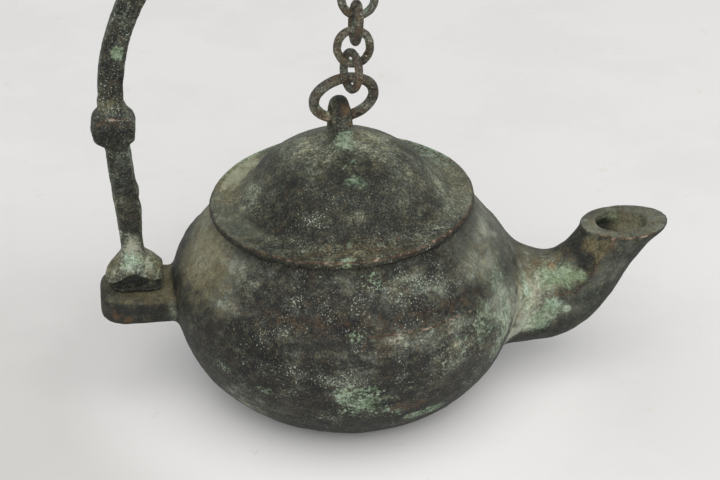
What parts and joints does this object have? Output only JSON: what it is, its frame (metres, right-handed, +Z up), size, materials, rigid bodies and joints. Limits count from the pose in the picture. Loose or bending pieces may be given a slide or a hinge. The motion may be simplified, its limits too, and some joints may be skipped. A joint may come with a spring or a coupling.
{
  "type": "oil lamp",
  "caption": "Squat cast bronze oil lamp with a hollow bowl, upturned spout, lift-off domed lid, bow handle on a lug and a chain from the lid's eye to the handle.",
  "frame": {"origin": "centre of the flat underside of the bowl, on the surface that it stands on", "axes": "+X towards the spout, -X towards the lug and handle, +Z up"},
  "size_m": [0.1379, 0.085, 0.134],
  "materials": {
    "bowl_bronze": "dark grey-green patina with fine pale speckle, verdigris at the spout's root, worn brown edges",
    "lid_bronze": "dark olive patina, mottled, with pale flecks and a worn brown rim",
    "handle_bronze": "near-black patina with green spots and pale flecks",
    "chain_bronze": "brown and grey patina, worn, with teal touches"
  },
  "bodies": {
    "root": {"lamp_body": "bowl_bronze", "lid": "lid_bronze", "handle": "handle_bronze", "chain_ring": "chain_bronze", "chain_link_1": "chain_bronze", "chain_link_2": "chain_bronze", "chain_link_3": "chain_bronze", "chain_link_4": "chain_bronze", "chain_link_5": "chain_bronze", "chain_link_6": "chain_bronze", "chain_link_7": "chain_bronze"}
  },
  "joints": []
}
